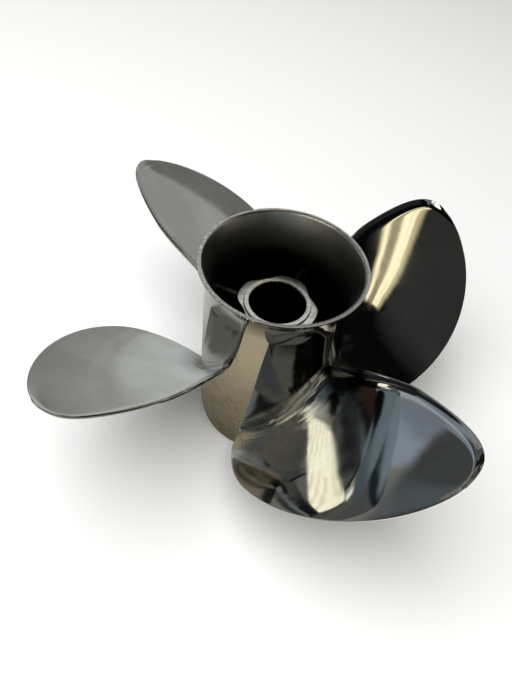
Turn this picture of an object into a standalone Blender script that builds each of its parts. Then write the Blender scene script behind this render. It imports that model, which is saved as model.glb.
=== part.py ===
"""Four-bladed outboard boat propeller in stainless steel, with exhaust through its hub.

Metres. +Z is the shaft's axis and points aft, the way the exhaust leaves. The origin is on that
axis, in the plane of the barrel's forward rim, on which the propeller stands.

The real one is a single casting. Here its parts are separate solids that meet with a small gap:
the outer barrel with its flared aft end, the inner hub, the ribs that join the two, and the blades
with their root fillets.
"""
import math

import bpy
import bmesh
from mathutils import Vector

# Barrel: the outer tube, a little narrower at its forward rim and flared at its aft rim.
BARREL_LENGTH = 0.1635
BARREL_RADIUS = 0.0540
FORWARD_RADIUS = 0.0515
FORWARD_TAPER_LENGTH = 0.026
RIM_RADIUS = 0.0600
RIM_WALL = 0.0030
FLARE_LENGTH = 0.024
FLARE_POWER = 1.8
BARREL_WALL = 0.0035
FORWARD_WALL = 0.0032
INNER_TAPER_POWER = 1.5
INNER_FLARE_LENGTH = 0.034
INNER_FLARE_POWER = 1.6
RIM_CHAMFER = 0.0005

# Inner hub: a cast tube, hollowed a little between the ribs, with a turned ring on its aft end.
BORE_RADIUS = 0.0211
LOBE_RADIUS = 0.0308
HOLLOW_DEPTH = 0.0041
HOLLOW_HALF_TURN = math.radians(34)
HUB_AFT_DEPTH = 0.0389
HUB_FORWARD_DEPTH = 0.010
RING_RADIUS = 0.0250
RING_HEIGHT = 0.0015

# Ribs: four flat webs on the diagonals.
RIB_TURN = math.radians(45)
RIB_THICKNESS = 0.0045
RIB_FORWARD_Z = 0.016
RIB_AFT_Z = 0.117
RIB_EDGE_RADIUS = 0.0012

# Blades: a right-hand screw surface. Radii from the shaft's axis, turns from the blade root's middle.
BLADE_COUNT = 4
BLADE_TURN = math.radians(-95.7)
TIP_RADIUS = 0.1817
ROOT_MIDDLE_Z = 0.0619
RAKE_ANGLE = math.radians(22)
ROOT_PITCH = 0.364
TIP_PITCH = 0.391
WIDEST_RADIUS = 0.1187
HALF_WIDTH = 0.0639
ROOT_NARROWING = 0.463
ROOT_NARROWING_POWER = 1.55
SKEW_TERMS = (0.265, -0.185, 0.292)
ROOT_THICKNESS = 0.0105
TIP_THICKNESS = 0.0030
THICKNESS_POWER = 1.8
SHORT_CHORD = 0.03
FULLNESS_POWER = 0.8
LEADING_EDGE = 0.0014
TRAILING_EDGE = 0.0030
TIP_EDGE_SHARE = 0.7
TRAILING_BULGE = 0.7
CUP_HEIGHT = 0.0030
CUP_WIDTH = 0.008
CUP_POWER = 2.2
TIP_LIFT = 0.0024
TIP_LIFT_START = 0.4
CUP_RUN_OUT = 0.020
FACE_HOLLOW = 0.0013
HOLLOW_FADE = 0.7
HOLLOW_LEAN = 0.0009
FILLET_RADIUS = 0.009
FILLET_END_SHARE = 0.35
FILLET_END_CHORD = 0.22
END_HALF_WIDTH = 0.0026
# Step of radius over which the lean of the trailing edge's outline is measured.
LEAN_STEP = 0.0002

# Gap between solids that are one casting on the real propeller.
SEAT_GAP = 0.0003

# Fineness of the faceted solids.
ROUND_STEPS = 72
FLARE_POINTS = 7
TAPER_POINTS = 4
LIP_POINTS = 3
RIB_EDGE_SEGMENTS = 2
CHORD_POINTS = 13
EDGE_POINTS = 2
CAP_ROWS = 5
OUTER_STATIONS = 11
INNER_STATIONS = 6
FILLET_STATIONS = 6
FILLET_STATION_POWER = 1.5
# Share of the chord points that crowd towards the two edges; the rest are evenly spaced.
CROWDED_SHARE = 0.6
MERGE_DISTANCE = 0.00005
SHARP_DEGREES = 50

HUB_AFT_Z = BARREL_LENGTH - HUB_AFT_DEPTH
HUB_FORWARD_Z = HUB_FORWARD_DEPTH
INNER_RADIUS = BARREL_RADIUS - BARREL_WALL


def new_material(name, colour, roughness):
    material = bpy.data.materials.new(name)
    material.use_nodes = True
    shader = material.node_tree.nodes["Principled BSDF"]
    shader.inputs["Base Color"].default_value = (*colour, 1.0)
    shader.inputs["Metallic"].default_value = 1.0
    shader.inputs["Roughness"].default_value = roughness
    return material


def new_object(name, mesh, collection, material):
    part = bpy.data.objects.new(name, mesh)
    collection.objects.link(part)
    if not mesh.materials:
        mesh.materials.append(material)
    return part


def barrel_outer_radius(z):
    """Radius of the barrel's outside at height z."""
    flare_start = BARREL_LENGTH - FLARE_LENGTH
    if z > flare_start:
        share = min(1.0, (z - flare_start) / (FLARE_LENGTH - RIM_CHAMFER))
        return BARREL_RADIUS + (RIM_RADIUS - BARREL_RADIUS) * share ** FLARE_POWER
    if z < FORWARD_TAPER_LENGTH:
        share = 1 - z / FORWARD_TAPER_LENGTH
        return BARREL_RADIUS - (BARREL_RADIUS - FORWARD_RADIUS) * share ** 2
    return BARREL_RADIUS


def barrel_inner_radius(z):
    """Radius of the barrel's inside at height z."""
    flare_start = BARREL_LENGTH - INNER_FLARE_LENGTH
    rim_inside = RIM_RADIUS - RIM_WALL
    forward_inside = FORWARD_RADIUS - FORWARD_WALL
    if z > flare_start:
        share = (z - flare_start) / INNER_FLARE_LENGTH
        return INNER_RADIUS + (rim_inside - INNER_RADIUS) * share ** INNER_FLARE_POWER
    if z < RIB_FORWARD_Z:
        share = 1 - z / RIB_FORWARD_Z
        return INNER_RADIUS - (INNER_RADIUS - forward_inside) * share ** INNER_TAPER_POWER
    return INNER_RADIUS


def spread(low, high, count):
    return [low + (high - low) * i / (count - 1) for i in range(count)]


def make_barrel(collection, material):
    """A closed profile, down the outside and up the inside, turned by Screw."""
    flare_z = spread(BARREL_LENGTH - RIM_CHAMFER, BARREL_LENGTH - FLARE_LENGTH, FLARE_POINTS)
    taper_z = spread(FORWARD_TAPER_LENGTH, RIM_CHAMFER, TAPER_POINTS)
    lip_z = spread(RIM_CHAMFER, RIB_FORWARD_Z, LIP_POINTS)
    inner_flare_start = BARREL_LENGTH - INNER_FLARE_LENGTH
    inner_flare_z = spread(inner_flare_start, BARREL_LENGTH - RIM_CHAMFER, FLARE_POINTS)
    profile = [(RIM_RADIUS - RIM_CHAMFER, BARREL_LENGTH)]
    profile += [(barrel_outer_radius(z), z) for z in flare_z + taper_z]
    profile += [(barrel_outer_radius(0.0) - RIM_CHAMFER, 0.0), (barrel_inner_radius(0.0) + RIM_CHAMFER, 0.0)]
    profile += [(barrel_inner_radius(z), z) for z in lip_z + inner_flare_z]
    profile.append((barrel_inner_radius(BARREL_LENGTH) + RIM_CHAMFER, BARREL_LENGTH))
    mesh = bpy.data.meshes.new("outer_barrel")
    bm = bmesh.new()
    verts = [bm.verts.new((radius, 0.0, z)) for radius, z in profile]
    for i, vert in enumerate(verts):
        bm.edges.new((vert, verts[(i + 1) % len(verts)]))
    bm.to_mesh(mesh)
    bm.free()
    barrel = new_object("outer_barrel", mesh, collection, material)
    screw = barrel.modifiers.new("turn", "SCREW")
    screw.steps = ROUND_STEPS
    screw.render_steps = ROUND_STEPS
    screw.use_merge_vertices = True
    screw.merge_threshold = MERGE_DISTANCE
    screw.use_smooth_shade = True
    return barrel


def hub_outer_radius(turn):
    """Outline of the cast hub: four round lobes at the ribs, with a shallow hollow between them."""
    away = abs(math.remainder(turn - RIB_TURN - math.pi / BLADE_COUNT, 2 * math.pi / BLADE_COUNT))
    if away > HOLLOW_HALF_TURN:
        return LOBE_RADIUS
    return LOBE_RADIUS - HOLLOW_DEPTH * math.cos(away / HOLLOW_HALF_TURN * math.pi / 2) ** 2


def set_loop(verts, radius_at, z):
    """Moves a loop of vertices to a height, each to the radius given for its angle."""
    for vert in verts:
        turn = math.atan2(vert.co.y, vert.co.x)
        radius = radius_at(turn)
        vert.co = Vector((radius * math.cos(turn), radius * math.sin(turn), z))


def make_hub(collection, material):
    """A loop of edges is drawn up the lobed outside, over the turned ring and down the bore."""
    face_z = HUB_AFT_Z - RING_HEIGHT

    def ring_radius(turn):
        return RING_RADIUS

    def bore_radius(turn):
        return BORE_RADIUS

    steps = [
        (hub_outer_radius, face_z),
        (ring_radius, face_z),
        (ring_radius, HUB_AFT_Z),
        (bore_radius, HUB_AFT_Z),
        (bore_radius, HUB_FORWARD_Z),
    ]
    mesh = bpy.data.meshes.new("inner_hub")
    bm = bmesh.new()
    bmesh.ops.create_circle(bm, cap_ends=False, radius=BORE_RADIUS, segments=ROUND_STEPS)
    set_loop(bm.verts[:], hub_outer_radius, HUB_FORWARD_Z)
    first = bm.edges[:]
    loop = first
    for radius_at, z in steps:
        grown = bmesh.ops.extrude_edge_only(bm, edges=loop)["geom"]
        loop = [item for item in grown if isinstance(item, bmesh.types.BMEdge)]
        verts = [item for item in grown if isinstance(item, bmesh.types.BMVert)]
        set_loop(verts, radius_at, z)
    bmesh.ops.bridge_loops(bm, edges=first + loop)
    bmesh.ops.recalc_face_normals(bm, faces=bm.faces[:])
    bm.to_mesh(mesh)
    bm.free()
    return new_object("inner_hub", mesh, collection, material)


def make_ribs(collection, material):
    """Four webs, each a box with rounded edges, from the hub's lobes to the barrel's inside."""
    for i in range(BLADE_COUNT):
        turn = RIB_TURN + i * math.pi / 2
        inside = hub_outer_radius(turn) + SEAT_GAP
        outside = INNER_RADIUS - SEAT_GAP
        length = outside - inside
        mesh = bpy.data.meshes.new(f"rib_{i + 1}")
        bm = bmesh.new()
        bmesh.ops.create_cube(bm, size=1.0)
        size = (length, RIB_THICKNESS, RIB_AFT_Z - RIB_FORWARD_Z)
        bmesh.ops.scale(bm, vec=size, verts=bm.verts)
        bm.to_mesh(mesh)
        bm.free()
        rib = new_object(f"rib_{i + 1}", mesh, collection, material)
        middle = inside + length / 2
        height = (RIB_FORWARD_Z + RIB_AFT_Z) / 2
        rib.location = (middle * math.cos(turn), middle * math.sin(turn), height)
        rib.rotation_euler = (0.0, 0.0, turn)
        bevel = rib.modifiers.new("edges", "BEVEL")
        bevel.width = RIB_EDGE_RADIUS
        bevel.segments = RIB_EDGE_SEGMENTS
        bevel.limit_method = "ANGLE"


def half_width(radius):
    """Half of the blade's width along its arc at a radius."""
    if radius > WIDEST_RADIUS:
        share = (radius - WIDEST_RADIUS) / (TIP_RADIUS - WIDEST_RADIUS)
        return HALF_WIDTH * math.sqrt(max(0.0, 1 - share ** 2))
    share = (WIDEST_RADIUS - radius) / (WIDEST_RADIUS - BARREL_RADIUS)
    return HALF_WIDTH * (1 - ROOT_NARROWING * share ** ROOT_NARROWING_POWER)


def span_share(radius):
    return (radius - BARREL_RADIUS) / (TIP_RADIUS - BARREL_RADIUS)


def middle_turn(radius):
    """Skew: how far the blade's middle has swung round at a radius."""
    share = span_share(radius)
    return sum(term * share ** (i + 1) for i, term in enumerate(SKEW_TERMS))


def pitch_slope(radius):
    """Rise for each metre along the arc at a radius."""
    pitch = ROOT_PITCH + (TIP_PITCH - ROOT_PITCH) * span_share(radius)
    return pitch / (2 * math.pi * radius)


def edge_lean(radius):
    """How far the trailing edge's outline moves along the arc for each metre of radius."""
    lower = radius - LEAN_STEP
    near = radius * middle_turn(radius) + half_width(radius)
    return (near - lower * middle_turn(lower) - half_width(lower)) / LEAN_STEP


def cup_share(radius, arc):
    """How far the cup has risen at a point of the face, from 1 at the trailing edge to 0 inside.

    It depends on the distance to the trailing edge, or past the tip on that to the tip itself.
    """
    near = radius * middle_turn(radius) + half_width(radius)
    square = (near - arc) / math.sqrt(1 + edge_lean(radius) ** 2)
    past_tip = max(0.0, radius * sum(SKEW_TERMS) - arc)
    distance = math.hypot(square, past_tip)
    return max(0.0, 1 - distance / CUP_WIDTH) ** CUP_POWER


def cup_size(radius):
    """1 along the trailing edge, and falling to 0 towards the tip, where the cup runs out."""
    if radius < WIDEST_RADIUS:
        return 1.0
    beyond_tip = radius * (middle_turn(radius) - sum(SKEW_TERMS)) + half_width(radius)
    share = min(1.0, max(0.0, beyond_tip / CUP_RUN_OUT))
    return share ** 2 * (3 - 2 * share)


def face_lift(radius, chord_share, risen, risen_first):
    """Height of the driving face over the plain screw surface.

    The face is a little hollow, lies lower towards its trailing edge, and curls up there in
    the cup, which is higher on the outer half and runs out at the tip.
    """
    level = chord_share ** 2 + (1 - chord_share ** 2) * risen_first
    outer = max(0.0, (span_share(radius) - TIP_LIFT_START) / (1 - TIP_LIFT_START))
    cup = CUP_HEIGHT * (risen - level) + TIP_LIFT * risen * math.sin(outer * math.pi / 2)
    lean = HOLLOW_LEAN * (2 * chord_share - 1)
    depth = FACE_HOLLOW * (1 - HOLLOW_FADE * span_share(radius) ** 2) + lean
    return cup * cup_size(radius) - 4 * chord_share * (1 - chord_share) * depth


def trailing_edge(radius):
    """Thickness of the blunt trailing edge, which thins towards the tip."""
    return TRAILING_EDGE * (1 - (1 - TIP_EDGE_SHARE) * span_share(radius) ** 3)


def section_thickness(radius, chord_share, chord):
    edge = LEADING_EDGE + (trailing_edge(radius) - LEADING_EDGE) * chord_share
    full = TIP_THICKNESS + (ROOT_THICKNESS - TIP_THICKNESS) * (1 - span_share(radius)) ** THICKNESS_POWER
    fade = 1 - math.exp(-chord / SHORT_CHORD)
    return edge + (full - edge) * fade * (4 * chord_share * (1 - chord_share)) ** FULLNESS_POWER


def fillet_share(chord_share):
    """Share of the full root fillet, which is smaller round the blade's two edges."""
    inwards = min(chord_share, 1 - chord_share) / FILLET_END_CHORD
    ease = math.sin(min(1.0, inwards) * math.pi / 2)
    return FILLET_END_SHARE + (1 - FILLET_END_SHARE) * ease


def section(radius, grow):
    """Closed outline of the blade at a radius, as (arc, z), grown outwards by grow.

    It starts at the leading edge, runs along the driving face to the trailing edge, and
    comes back along the other side.
    """
    slope = pitch_slope(radius)
    along = Vector((1.0, slope)).normalized()
    under = Vector((along.y, -along.x))
    middle = radius * middle_turn(radius)
    width = half_width(radius)
    rake = math.tan(RAKE_ANGLE) * (radius - BARREL_RADIUS)
    first = middle - width + LEADING_EDGE / 2
    last = middle + width - trailing_edge(radius) / 2 * along.x
    chord = last - first
    risen_first = cup_share(radius, first)

    def face_point(share):
        arc = first + chord * share
        lift = face_lift(radius, share, cup_share(radius, arc), risen_first)
        return Vector((arc, ROOT_MIDDLE_Z + rake + slope * arc + lift))

    even = spread(0.0, 1.0, CHORD_POINTS)
    crowded = [(1 - math.cos(math.pi * share)) / 2 for share in even]
    shares = [near + (far - near) * CROWDED_SHARE for near, far in zip(even, crowded)]
    face = [face_point(share) for share in shares]
    back = [
        point + under * section_thickness(radius, share, chord)
        for point, share in zip(face, shares)
    ]

    def edge_round(start, end, outwards, bulge):
        centre = (start + end) / 2
        arm = (start - end) / 2
        reach = outwards * arm.length * bulge
        turns = [math.pi * (i + 1) / (2 * EDGE_POINTS + 2) for i in range(2 * EDGE_POINTS + 1)]
        return [centre + arm * math.cos(turn) + reach * math.sin(turn) for turn in turns]

    trailing = edge_round(face[-1], back[-1], along, TRAILING_BULGE)
    leading = edge_round(back[0], face[0], -along, 1.0)
    outline = face + trailing + back[::-1] + leading
    ends = [fillet_share(share) for share in shares]
    edge_share = [FILLET_END_SHARE] * len(trailing)
    growth = ends + edge_share + ends[::-1] + edge_share
    lead = len(outline) - EDGE_POINTS - 1
    outline = outline[lead:] + outline[:lead]
    growth = growth[lead:] + growth[:lead]
    if grow == 0.0:
        return outline
    grown = []
    for i, point in enumerate(outline):
        step = outline[(i + 1) % len(outline)] - outline[i - 1]
        outwards = Vector((-step.y, step.x)).normalized()
        grown.append(point + outwards * grow * growth[i])
    return grown


def wrap(arc, z, radius, lift):
    """A point of a flat section, wrapped round the axis at a radius."""
    turn = arc / radius
    return Vector(((radius + lift) * math.cos(turn), (radius + lift) * math.sin(turn), z))


def blade_stations():
    """Radii of the sections, and how far the root fillet widens each one."""
    stations = []
    for i in range(FILLET_STATIONS):
        share = (i / (FILLET_STATIONS - 1)) ** FILLET_STATION_POWER
        above = SEAT_GAP + (FILLET_RADIUS - SEAT_GAP) * share
        fall = FILLET_RADIUS - above
        grow = FILLET_RADIUS - math.sqrt(FILLET_RADIUS ** 2 - fall ** 2)
        stations.append((BARREL_RADIUS + above, grow))
    fillet_end = BARREL_RADIUS + FILLET_RADIUS
    for radius in spread(fillet_end, WIDEST_RADIUS, INNER_STATIONS)[1:]:
        stations.append((radius, 0.0))
    last_turn = math.acos(END_HALF_WIDTH / HALF_WIDTH)
    for turn in spread(0.0, last_turn, OUTER_STATIONS)[1:]:
        radius = WIDEST_RADIUS + (TIP_RADIUS - WIDEST_RADIUS) * math.sin(turn)
        stations.append((radius, 0.0))
    return stations


def cap_ring(bm, ring, rows, outwards, place):
    """Closes a ring with strips from its face side to its back side.

    place turns a point between two of the ring's into a point of the cap.
    """
    half = len(ring) // 2
    columns = []
    for i in range(1, half):
        near = ring[i]
        far = ring[-i]
        between = [bm.verts.new(place(i, row / rows)) for row in range(1, rows)]
        columns.append([near] + between + [far])
    faces = []
    for left, right in zip(columns, columns[1:]):
        for row in range(rows):
            faces.append([left[row], right[row], right[row + 1], left[row + 1]])
    for column, tip in ((columns[0][::-1], ring[0]), (columns[-1], ring[half])):
        for row in range(rows):
            faces.append([tip, column[row], column[row + 1]])
    for corners in faces:
        if outwards:
            corners = corners[::-1]
        bm.faces.new(corners)


def make_blade_mesh():
    """A loft through the blade's sections, from the foot of its fillet to its tip."""
    bm = bmesh.new()
    rings = []
    outlines = []
    for radius, grow in blade_stations():
        outline = section(radius, grow)
        settle = grow / FILLET_RADIUS
        ring = []
        for arc, z in outline:
            lift = (barrel_outer_radius(z) - BARREL_RADIUS) * settle
            ring.append(bm.verts.new(wrap(arc, z, radius, lift)))
        rings.append(ring)
        outlines.append((outline, radius, settle))
    for lower, upper in zip(rings, rings[1:]):
        for i in range(len(lower)):
            j = (i + 1) % len(lower)
            bm.faces.new((lower[i], lower[j], upper[j], upper[i]))

    def placer(outline, radius, settle):
        def place(i, share):
            arc, z = outline[i].lerp(outline[-i], share)
            lift = (barrel_outer_radius(z) - BARREL_RADIUS) * settle
            return wrap(arc, z, radius, lift)
        return place

    cap_ring(bm, rings[0], CAP_ROWS, False, placer(*outlines[0]))
    cap_ring(bm, rings[-1], 1, True, placer(*outlines[-1]))
    bmesh.ops.recalc_face_normals(bm, faces=bm.faces[:])
    mesh = bpy.data.meshes.new("blade")
    bm.to_mesh(mesh)
    bm.free()
    mesh.shade_smooth()
    mesh.set_sharp_from_angle(angle=math.radians(SHARP_DEGREES))
    return mesh


def make_blades(collection, material):
    mesh = make_blade_mesh()
    for i in range(BLADE_COUNT):
        blade = new_object(f"blade_{i + 1}", mesh, collection, material)
        blade.rotation_euler = (0.0, 0.0, BLADE_TURN + i * 2 * math.pi / BLADE_COUNT)


def main():
    for item in list(bpy.data.objects):
        bpy.data.objects.remove(item, do_unlink=True)
    propeller = bpy.data.collections.new("boat_propeller")
    bpy.context.scene.collection.children.link(propeller)
    polished = new_material("polished_stainless", (0.62, 0.61, 0.59), 0.12)
    cast = new_material("cast_stainless", (0.45, 0.44, 0.43), 0.45)
    make_barrel(propeller, polished)
    make_hub(propeller, cast)
    make_ribs(propeller, cast)
    make_blades(propeller, polished)


main()
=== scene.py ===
# %% [markdown]
# # A stainless outboard propeller, polished by hand
#
# The real propeller is one casting of stainless steel: an open barrel, an inner hub held in it by
# four ribs, and four skewed blades. It stands on its forward rim, so its flared aft rim is on top.
# This lesson makes each of those parts as a fine mesh over its solid, gives each its finish, and
# then sets up the room that a mirror finish needs.

# %% Load the frame
import math

import bmesh
import bpy
import numpy as np
from mathutils import Matrix, Vector


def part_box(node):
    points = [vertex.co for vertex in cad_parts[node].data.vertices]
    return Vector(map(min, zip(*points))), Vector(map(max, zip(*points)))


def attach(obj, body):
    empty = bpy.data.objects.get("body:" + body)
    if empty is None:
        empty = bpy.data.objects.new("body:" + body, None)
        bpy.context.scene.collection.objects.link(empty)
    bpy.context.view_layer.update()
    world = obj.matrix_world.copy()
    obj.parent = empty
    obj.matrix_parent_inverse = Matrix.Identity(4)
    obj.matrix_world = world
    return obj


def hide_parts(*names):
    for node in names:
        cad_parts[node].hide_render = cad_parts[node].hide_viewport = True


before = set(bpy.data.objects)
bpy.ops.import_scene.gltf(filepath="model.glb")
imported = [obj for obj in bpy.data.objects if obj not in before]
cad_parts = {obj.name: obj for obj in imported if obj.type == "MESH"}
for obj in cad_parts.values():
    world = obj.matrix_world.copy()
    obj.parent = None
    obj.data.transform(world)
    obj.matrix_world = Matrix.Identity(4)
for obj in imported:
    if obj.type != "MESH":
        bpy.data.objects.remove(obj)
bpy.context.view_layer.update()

# %% [markdown]
# ## Sizes
#
# What the solids can tell is read from them, so that the fine pieces stay where the solids are.
# The rest, such as wall thickness and the curve of the flare, are values in metres, as a drawing
# would give them.

# %% Sizes of the barrel, the hub and the ribs
barrel_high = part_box("outer_barrel")[1]
hub_low, hub_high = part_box("inner_hub")
rib_low, rib_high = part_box("rib_1")

BARREL_LENGTH = barrel_high.z
RIM_RADIUS = barrel_high.x
BARREL_RADIUS = 0.0540
FORWARD_RADIUS = 0.0515
FORWARD_TAPER_LENGTH = 0.026
FLARE_LENGTH = 0.024
FLARE_POWER = 1.8
BARREL_WALL = 0.0035
RIM_WALL = 0.0030
FORWARD_WALL = 0.0032
INNER_FLARE_LENGTH = 0.034
INNER_FLARE_POWER = 1.6
INNER_TAPER_LENGTH = rib_low.z
INNER_TAPER_POWER = 1.5
RIM_CHAMFER = 0.0005
SMALL_CHAMFER = 0.0003
ROUND_STEPS = 360

BORE_RADIUS = 0.0211
BORE_CHAMFER = 0.0006
RING_RADIUS = 0.0250
RING_HEIGHT = 0.0015
LOBE_RADIUS = 0.0308
HOLLOW_DEPTH = 0.0041
HOLLOW_HALF_TURN = math.radians(34)
HUB_EDGE_RADIUS = 0.0009
HUB_FOOT_CHAMFER = 0.0005
CLOSE = 0.0001

RIB_TURN = math.radians(45)
RIB_THICKNESS = 0.0045
RIB_OVERLAP = 0.0008
RIB_EDGE_RADIUS = 0.0012
RIB_FILLET = 0.0032
INNER_RADIUS = BARREL_RADIUS - BARREL_WALL
print(f"barrel {1000 * BARREL_LENGTH:.1f} mm long, {2000 * RIM_RADIUS:.1f} mm across its rim")

# %% [markdown]
# ## The barrel
#
# A turned shape is a profile swept round an axis. `spin` does that in one step: the profile's
# points go in as loose edges, and a full turn with `use_merge` closes the seam. Each face gets the
# number of its finish by where it lies: outside, on the rim or inside.

# %% Profile of the barrel
def spread(low, high, count):
    return [low + (high - low) * i / (count - 1) for i in range(count)]


def barrel_outside(z):
    """Outer radius of the barrel at height z."""
    flare_start = BARREL_LENGTH - FLARE_LENGTH
    if z > flare_start:
        share = min(1.0, (z - flare_start) / (FLARE_LENGTH - RIM_CHAMFER))
        return BARREL_RADIUS + (RIM_RADIUS - BARREL_RADIUS) * share ** FLARE_POWER
    if z < FORWARD_TAPER_LENGTH:
        share = 1 - z / FORWARD_TAPER_LENGTH
        return BARREL_RADIUS - (BARREL_RADIUS - FORWARD_RADIUS) * share ** 2
    return BARREL_RADIUS


def barrel_inside(z):
    """Inner radius of the barrel at height z."""
    flare_start = BARREL_LENGTH - INNER_FLARE_LENGTH
    if z > flare_start:
        share = ((z - flare_start) / INNER_FLARE_LENGTH) ** INNER_FLARE_POWER
        return INNER_RADIUS + (RIM_RADIUS - RIM_WALL - INNER_RADIUS) * share
    if z < INNER_TAPER_LENGTH:
        share = (1 - z / INNER_TAPER_LENGTH) ** INNER_TAPER_POWER
        return INNER_RADIUS - (INNER_RADIUS - FORWARD_RADIUS + FORWARD_WALL) * share
    return INNER_RADIUS


def trace(outline, marks, counts):
    """Points (radius, z) of an outline from mark to mark, with a count of points for each part."""
    points = [(outline(marks[0]), marks[0])]
    for start, end, count in zip(marks, marks[1:], counts):
        points += [(outline(z), z) for z in spread(start, end, count)[1:]]
    return points


def barrel_profile():
    """Points (radius, z) down the outside, round the foot, up the inside and over the rim."""
    top = BARREL_LENGTH
    outer = (top - RIM_CHAMFER, top - FLARE_LENGTH, FORWARD_TAPER_LENGTH, 2 * RIM_CHAMFER)
    inner = (RIM_CHAMFER, INNER_TAPER_LENGTH, top - INNER_FLARE_LENGTH, top - SMALL_CHAMFER)
    foot = [
        (FORWARD_RADIUS - 0.3 * RIM_CHAMFER, 0.6 * RIM_CHAMFER),
        (FORWARD_RADIUS - 1.4 * RIM_CHAMFER, 0.0),
        (FORWARD_RADIUS - FORWARD_WALL + RIM_CHAMFER, 0.0),
    ]
    rim = [(RIM_RADIUS - RIM_WALL + SMALL_CHAMFER, top), (RIM_RADIUS - RIM_CHAMFER, top)]
    outer_points = trace(barrel_outside, outer, (26, 12, 14))
    return outer_points + foot + trace(barrel_inside, inner, (8, 12, 20)) + rim


barrel_line = barrel_profile()
print("profile points:", len(barrel_line))

# %% [markdown]
# A few small helpers serve every piece. One numbers the faces by their finish, and another turns a
# finished bmesh into an object at the origin, smooth except where faces meet at a clear angle.

# %% Helpers that finish a piece
OUTSIDE, RIM, INSIDE = 0, 1, 2


def number_faces(bm, choose):
    """Gives each face the number of its finish, chosen by its distance from the axis and height."""
    for face in bm.faces:
        middle = face.calc_center_median()
        face.material_index = choose(math.hypot(middle.x, middle.y), middle.z)


def link_object(name, data):
    thing = bpy.data.objects.new(name, data)
    bpy.context.collection.objects.link(thing)
    return thing


def finish_piece(bm, name, nodes, sharp_degrees=40):
    bmesh.ops.recalc_face_normals(bm, faces=bm.faces[:])
    mesh = bpy.data.meshes.new(name)
    bm.to_mesh(mesh)
    bm.free()
    mesh.shade_smooth()
    mesh.set_sharp_from_angle(angle=math.radians(sharp_degrees))
    piece = link_object(name, mesh)
    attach(piece, "root")
    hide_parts(*nodes)
    print(f"{name}: {len(mesh.polygons)} faces")
    return piece


# %% Spin the barrel
def barrel_finish(radius, z):
    if z > BARREL_LENGTH - 0.8 * RIM_CHAMFER:
        return RIM
    return INSIDE if radius < (barrel_outside(z) + barrel_inside(z)) / 2 else OUTSIDE


def make_barrel():
    bm = bmesh.new()
    ring = [bm.verts.new((radius, 0.0, z)) for radius, z in barrel_line]
    for first, second in zip(ring, ring[1:] + ring[:1]):
        bm.edges.new((first, second))
    bmesh.ops.spin(
        bm, geom=bm.verts[:] + bm.edges[:], cent=(0.0, 0.0, 0.0), axis=(0.0, 0.0, 1.0),
        angle=2 * math.pi, steps=ROUND_STEPS, use_merge=True,
    )
    number_faces(bm, barrel_finish)
    return finish_piece(bm, "barrel", ["outer_barrel"])


barrel = make_barrel()

# %% [markdown]
# ## The inner hub
#
# The hub is a tube whose outside has four lobes, one at each rib. A loop of edges is drawn up the
# outside, over the turned ring and down the bore, and each step puts the new loop where the next
# edge of the real casting is. Two close loops at a corner make its small radius.

# %% Draw the hub loop by loop
TURNED, CAST, BORE = 0, 1, 2


def hub_outside(turn):
    away = abs(math.remainder(turn, math.pi / 2))
    if away > HOLLOW_HALF_TURN:
        return LOBE_RADIUS
    return LOBE_RADIUS - HOLLOW_DEPTH * math.cos(away / HOLLOW_HALF_TURN * math.pi / 2) ** 2


def hub_steps():
    """(kind of loop, growth or radius, z) for each loop, up the outside and down the bore."""
    face_z = hub_high.z - RING_HEIGHT
    steps = [("lobed", -HUB_FOOT_CHAMFER, hub_low.z), ("lobed", 0.0, hub_low.z + HUB_FOOT_CHAMFER)]
    for angle in spread(0.0, math.pi / 2, 6):
        inset = HUB_EDGE_RADIUS * (1 - math.cos(angle))
        steps.append(("lobed", -inset, face_z - HUB_EDGE_RADIUS * (1 - math.sin(angle))))
    round_loops = (
        (RING_RADIUS + SMALL_CHAMFER, face_z),
        (RING_RADIUS, face_z + SMALL_CHAMFER),
        (RING_RADIUS, hub_high.z - SMALL_CHAMFER),
        (RING_RADIUS - SMALL_CHAMFER, hub_high.z),
        (BORE_RADIUS + BORE_CHAMFER, hub_high.z),
        (BORE_RADIUS, hub_high.z - BORE_CHAMFER),
        (BORE_RADIUS, hub_low.z + HUB_FOOT_CHAMFER),
        (BORE_RADIUS + HUB_FOOT_CHAMFER, hub_low.z),
    )
    return steps + [("round", radius, z) for radius, z in round_loops]


def set_loop(verts, kind, size, z):
    for vert in verts:
        turn = math.atan2(vert.co.y, vert.co.x)
        radius = hub_outside(turn) + size if kind == "lobed" else size
        vert.co = (radius * math.cos(turn), radius * math.sin(turn), z)


def extrude_loop(bm, loop):
    """Extrudes a loop of edges; returns the new loop and its vertices."""
    grown = bmesh.ops.extrude_edge_only(bm, edges=loop)["geom"]
    edges = [item for item in grown if isinstance(item, bmesh.types.BMEdge)]
    return edges, [item for item in grown if isinstance(item, bmesh.types.BMVert)]


def draw_loops(bm, steps):
    """Extrudes a closed loop of edges through the steps and joins the last loop to the first."""
    bmesh.ops.create_circle(bm, cap_ends=False, radius=BORE_RADIUS, segments=ROUND_STEPS)
    first = bm.edges[:]
    set_loop(bm.verts[:], *steps[0])
    loop = first
    for step in steps[1:]:
        loop, verts = extrude_loop(bm, loop)
        set_loop(verts, *step)
    bmesh.ops.bridge_loops(bm, edges=first + loop)


def hub_finish(radius, z):
    if radius < BORE_RADIUS + CLOSE:
        return BORE
    on_face = z > hub_high.z - RING_HEIGHT - CLOSE or z < hub_low.z + CLOSE
    return TURNED if on_face else CAST


def make_hub():
    bm = bmesh.new()
    draw_loops(bm, hub_steps())
    number_faces(bm, hub_finish)
    return finish_piece(bm, "hub", ["inner_hub"], 30)


hub = make_hub()

# %% [markdown]
# ## The ribs
#
# Each rib is a flat web that flows into the hub and the barrel with a cast radius. A box is cut
# across into slices, and the slices near its two ends are widened along a quarter circle.

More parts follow.
